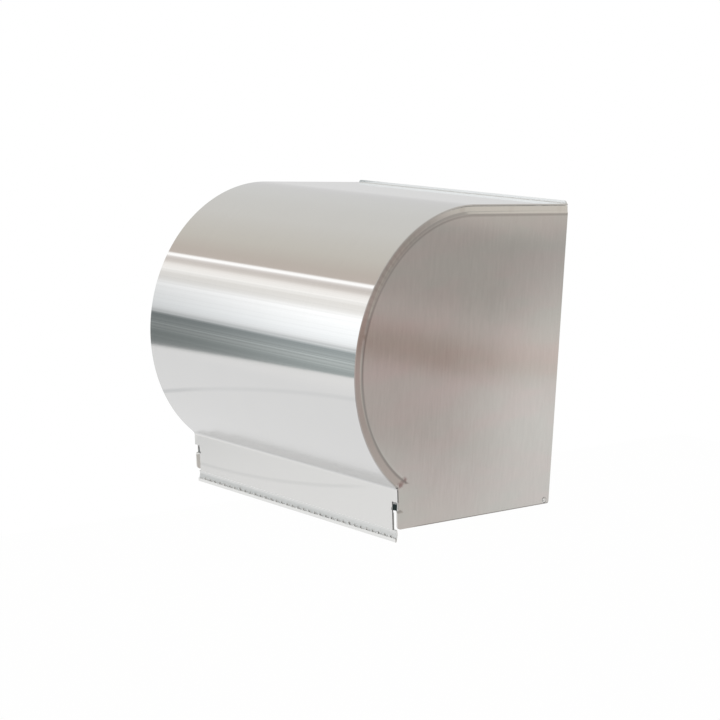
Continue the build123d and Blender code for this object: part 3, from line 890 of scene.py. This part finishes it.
# %% [markdown]
# ## The cover, rolled from one sheet
# On the real dispenser the cover is one sheet: flat on top, rolled round the front and straight
# again down the apron. It could be cut from a solid, but a sheet is quicker to make the way it is
# really made. It starts as a flat plane for the top. Its front edge is spun about the roll's
# axis, and the edge that comes out of the spin is extruded down as the apron.

# %% The bend line of the sheet
sheet = 1.0 * mm
tiny = 0.01 * mm
sweep = 145
apron_length = 28.7 * mm
apron_lean = radians(5.9)
down = Vector((0.0, sin(apron_lean), -cos(apron_lean)))
fold_angle = radians(90 + sweep)
fold = Vector((0.0, roll_y + top * cos(fold_angle), top * sin(fold_angle)))

bpy.ops.object.select_all(action="DESELECT")
top_middle = (0.0, (roll_y + cover_high[1]) / 2, top)
bpy.ops.mesh.primitive_plane_add(size=1, location=top_middle)
cover = bpy.context.object
cover.name = "cover_sheet"
cover.scale = (2 * half_width, cover_high[1] - roll_y, 1)
bpy.ops.object.transform_apply(location=True, rotation=True, scale=True)
edit(cover)
pick(cover, "EDGE", lambda c: abs(c.y - roll_y) < tiny)
bpy.ops.mesh.spin(steps=sweep, angle=radians(sweep), center=(0, roll_y, 0), axis=(-1, 0, 0))
pick(cover, "EDGE", lambda c: (c - fold).length < tiny)
bpy.ops.mesh.extrude_region_move(TRANSFORM_OT_translate={"value": down * apron_length})
bpy.ops.object.mode_set(mode="OBJECT")
lowest = min(v.co.z for v in cover.data.vertices)
print("rolled", len(cover.data.polygons), "strips, lowest", round(lowest, 4))

# %% [markdown]
# ## The fold, the notches and the slot
# A press brake leaves a rounded fold, and a round one catches the light as a soft line, so the
# fold's edge is bevelled in a few steps. Each end of the apron has a narrow notch. A boolean
# would cut it, but bisecting only the apron's faces cuts the sheet along straight lines, as a
# punch does, and the corners are then deleted. The same is done at the top rear edge, where the
# hinge's barrel lies in a slot.

# %% Fold, notches and slot
fold_reach = 1.8 * mm
fold_steps = 6
apron_half = half_width - 5.2 * mm
notch_start = 9.2 * mm
notch_height = 5.8 * mm
slot_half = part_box("right_side_plate")[0][0]
slot_gap = 0.3 * mm
slot_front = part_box("hinge_leaf_back")[0][1] - slot_gap


def along(place):
    """How far down the apron a place lies, from the fold."""
    return (place - fold).dot(down)


def cut(piece, test, place, normal):
    """Cut the faces that pass the test, along a plane."""
    pick(piece, "FACE", test)
    bpy.ops.mesh.bisect(plane_co=place, plane_no=normal)


edit(cover)
pick(cover, "EDGE", lambda c: (c - fold).length < tiny)
bpy.ops.mesh.bevel(offset=fold_reach, segments=fold_steps, affect="EDGES")
for outward in (-1, 1):
    cut(cover, lambda c: along(c) > fold_reach, (outward * apron_half, 0, 0), (1, 0, 0))
cut(cover, lambda c: along(c) > fold_reach, fold + down * notch_start, down)
pick(cover, "FACE", lambda c: abs(c.x) > apron_half and along(c) > notch_start)
bpy.ops.mesh.delete(type="FACE")
cut(cover, lambda c: c.y > roll_y and c.z > top - tiny, (0, slot_front, 0), (0, 1, 0))
for outward in (-1, 1):
    cut(cover, lambda c: c.y > slot_front, (outward * slot_half, 0, 0), (1, 0, 0))
pick(cover, "FACE", lambda c: c.y > slot_front and abs(c.x) < slot_half)
bpy.ops.mesh.delete(type="FACE")
bpy.ops.object.mode_set(mode="OBJECT")
print("cover outline has", len(cover.data.polygons), "faces")

# %% [markdown]
# ## The ears in the notches
# The metal of each notch is turned back as a small ear, which closes the gap beside the apron. It
# could be extruded from the notch's edge, but a small plane is easier to turn. It is turned and
# tipped a little, so that it mirrors a darker part of the room than the apron does, and it is
# then joined to the cover's mesh.

# %% Ears
ear_turn = 20
ear_tip = 4
ear_lap = 0.8 * mm
ear_gap = 0.1 * mm
ear_reach = slot_half - ear_gap - apron_half
ear_middle = fold + down * (notch_start + notch_height / 2)
ears = []
for outward in (-1, 1):
    bpy.ops.object.select_all(action="DESELECT")
    bpy.ops.mesh.primitive_plane_add(size=1)
    ear = bpy.context.object
    sideways = (ear_reach - ear_lap) / 2
    ear.scale = (ear_reach + ear_lap, notch_height, 1)
    ear.rotation_euler = (radians(90 - ear_tip), 0, outward * radians(ear_turn))
    ear.location = ear_middle + Vector((outward * (apron_half + sideways), sheet / 3, 0))
    ear.location.y += sideways * sin(radians(ear_turn))
    bpy.ops.object.transform_apply(location=True, rotation=True, scale=True)
    ears.append(ear)
only(cover)
for ear in ears:
    ear.select_set(True)
bpy.ops.object.join()
print("cover with ears", len(cover.data.polygons), "faces")

# %% [markdown]
# ## Thickness and edges
# Solidify gives the sheet its thickness, inwards from its outer face, so the outside keeps its
# size. An extrusion would do for the flats, but it would thin the sheet at the bends. A sheared
# edge is never quite sharp: a round of a little under half the sheet's thickness gives it the
# thin bright line that the light draws along the cover's rim. Weighted normals keep flats flat.

# %% Finish the cover
edge_round = 0.45 * mm
edge_steps = 3
smooth_angle = radians(30)
edge_angle = radians(40)


def dress(piece, node_names, body, slot):
    """Smooth a finished piece, give it its finish, and let it stand for CAD nodes."""
    only(piece)
    bpy.ops.object.shade_smooth_by_angle(angle=smooth_angle)
    apply_modifier(piece, "WEIGHTED_NORMAL", keep_sharp=True)
    piece.data.materials.clear()
    piece.data.materials.append(finishes[slot])
    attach(piece, body)
    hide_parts(*node_names)
    print(piece.name, len(piece.data.polygons), "faces")


def round_edges(piece, width, segments):
    """Round every edge that turns by more than the edge angle."""
    apply_modifier(piece, "BEVEL", width=width, segments=segments,
                   limit_method="ANGLE", angle_limit=edge_angle)


apply_modifier(cover, "SOLIDIFY", thickness=sheet, offset=-1.0, use_even_offset=True)
round_edges(cover, edge_round, edge_steps)
dress(cover, ["cover_wrapper"], "cover", "cover_steel")

# %% [markdown]
# ## Softened copies of the other pieces
# The other pieces have the right shape already, but their edges are mathematically sharp, and
# such an edge never shows a highlight. Modelling them again would only repeat the CAD. So each is
# a copy of its CAD mesh, whose loose triangles are merged and whose flat parts are dissolved into
# single faces, and whose edges are then rounded with a small bevel.

# %% A softened copy
merge_distance = 0.001 * mm
flat_angle = radians(0.5)
fold_angle_least = radians(10)
fold_angle_most = radians(65)
soft_steps = 2
soft_fold_steps = 4


def round_folds(piece, width):
    """Give the shallow folds of a piece a wider round, and leave its sheared edges alone."""
    bpy.ops.mesh.select_mode(type="EDGE")
    bpy.ops.mesh.select_all(action="DESELECT")
    bpy.ops.mesh.edges_select_sharp(sharpness=fold_angle_most)
    bpy.ops.mesh.mark_sharp()
    bpy.ops.mesh.select_all(action="DESELECT")
    bpy.ops.mesh.edges_select_sharp(sharpness=fold_angle_least)
    bpy.ops.object.mode_set(mode="OBJECT")
    for line in piece.data.edges:
        line.select = line.select and not line.use_edge_sharp
    bpy.ops.object.mode_set(mode="EDIT")
    bpy.ops.mesh.bevel(offset=width, segments=soft_fold_steps, affect="EDGES")
    bpy.ops.mesh.select_all(action="SELECT")
    bpy.ops.mesh.mark_sharp(clear=True)


def soften(name, width, fold_width=0.0, shape=None):
    """A copy of a CAD node with rounded edges, and with its folds rounded or its shape changed."""
    piece = bpy.data.objects.new("soft_" + name, nodes[name].data.copy())
    bpy.context.scene.collection.objects.link(piece)
    edit(piece)
    bpy.ops.mesh.select_all(action="SELECT")
    bpy.ops.mesh.customdata_custom_splitnormals_clear()
    bpy.ops.mesh.remove_doubles(threshold=merge_distance)
    bpy.ops.mesh.dissolve_limited(angle_limit=flat_angle)
    if fold_width:
        round_folds(piece, fold_width)
    if shape:
        shape(piece)
    bpy.ops.object.mode_set(mode="OBJECT")
    round_edges(piece, width, soft_steps)
    dress(piece, [name], body_of[name], slot_of[name])


plate_round = 0.15 * mm
plate_fold_round = 0.35 * mm
for side_name in ("left", "right"):
    soften(f"{side_name}_side_plate", plate_round, fold_width=plate_fold_round)

# %% [markdown]
# ## The tear blade
# The blade is thinner sheet, bent into a trough and a lip, with its teeth standing up from the
# lip. The trough looks a little shallower on the real one than in the CAD model. Its section
# could be drawn again with all its teeth, but moving the points at its bottom is enough.

# %% Tear blade
trough_z = -114.1 * mm
trough_reach = 0.5 * mm
trough_shift = 0.9 * mm
blade_round = 0.08 * mm


def shallow_trough(piece):
    """Bring the bottom of the trough forward."""
    pick(piece, "VERT", lambda c: abs(c.z - trough_z) < trough_reach)
    bpy.ops.transform.translate(value=(0, -trough_shift, 0))


soften("tear_blade", blade_round, shape=shallow_trough)

# %% [markdown]
# ## The small pieces
# The wall plate, hinge, arms, bushes, catches and spindle are seen from below or with the cover
# lifted. Each could get its own rounds edge by edge, but one small round for all its edges looks
# right at their size. The pin, the rivets and the spring are round already and stay as they are.

# %% Soften the rest
# Widths in millimetres
small_rounds = {
    "back_plate": 0.2, "left_arm": 0.2, "right_arm": 0.2, "hinge_leaf_back": 0.12, "hinge_leaf_cover": 0.12,
    "left_bush": 0.15, "right_bush": 0.15, "left_catch_leaf": 0.1, "right_catch_leaf": 0.1,
    "left_catch_button": 0.1, "right_catch_button": 0.1, "spindle_sleeve": 0.2, "spindle_end_cap": 0.4,
    "spindle_plunger": 0.4, "spindle_stop_ring": 0.2,
}
for name, width in small_rounds.items():
    soften(name, width * mm)
